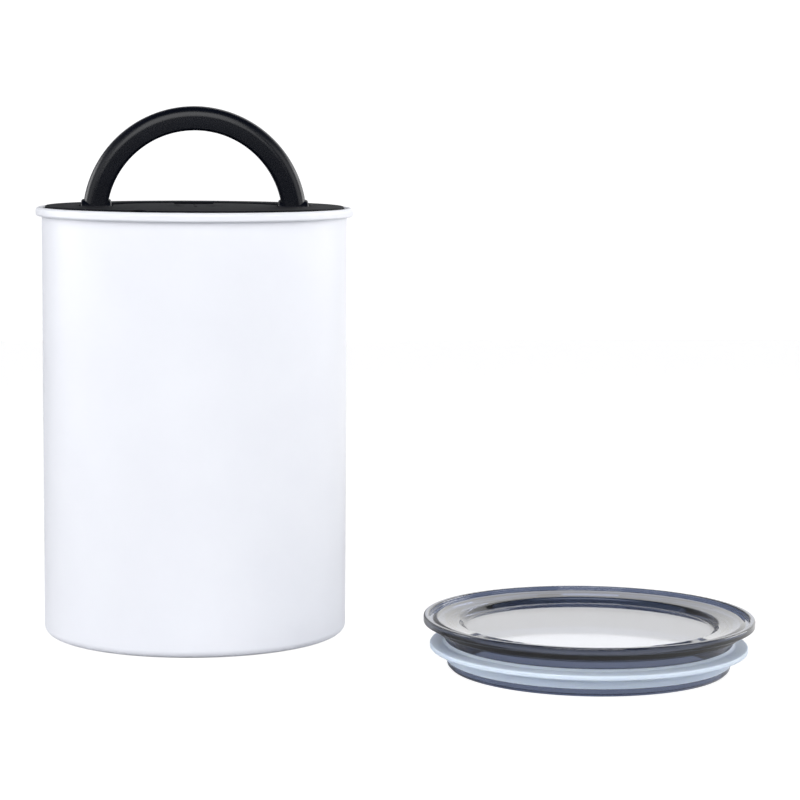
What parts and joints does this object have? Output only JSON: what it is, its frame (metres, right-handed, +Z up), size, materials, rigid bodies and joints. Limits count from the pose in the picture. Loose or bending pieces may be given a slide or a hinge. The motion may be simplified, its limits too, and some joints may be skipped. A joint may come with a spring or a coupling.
{
  "type": "coffee canister",
  "caption": "Straight-sided steel canister with a rolled rim, a press-down inner lid with a folding handle and an air valve, and a clear sealing outer lid lying beside it.",
  "frame": {"origin": "middle of the ring that the canister stands on, on its axis", "axes": "+Z up along the canister's axis, -Y to the front, +X to the right; the outer lid lies to the right and a little nearer the front"},
  "size_m": [0.2847, 0.2172, 0.2197],
  "materials": {
    "white_paint": "satin white paint on steel",
    "black_plastic": "black moulded plastic, satin",
    "silicone": "translucent pale silicone, matt",
    "steel_pin": "plain drawn steel",
    "smoke_plastic": "clear smoke-grey moulded plastic, glossy"
  },
  "bodies": {
    "canister": {"canister_body": "white_paint"},
    "press_lid": {"inner_lid_plate": "black_plastic", "inner_lid_shell": "black_plastic", "inner_seal": "silicone", "hinge_pins": "steel_pin", "valve_cover": "black_plastic"},
    "handle": {"carry_handle": "black_plastic"},
    "valve": {"valve_flap": "silicone"},
    "top_lid": {"outer_lid": "smoke_plastic", "outer_seal": "silicone"}
  },
  "joints": [
    {"name": "press_slide", "type": "slide", "parent": "canister", "child": "press_lid", "axis": [0, 0, 1], "range_m": [-0.145, 0.06]},
    {"name": "handle_fold", "type": "hinge", "parent": "press_lid", "child": "handle", "pos_m": [0, 0, 0.1754], "axis": [-1, 0, 0], "range_deg": [0, 90]},
    {"name": "valve_lift", "type": "slide", "parent": "press_lid", "child": "valve", "axis": [0, 0, 1], "range_m": [0, 0.0012]},
    {"name": "outer_lid_lift", "type": "slide", "parent": "canister", "child": "top_lid", "axis": [0, 0, 1], "range_m": [0, 0.2]}
  ]
}
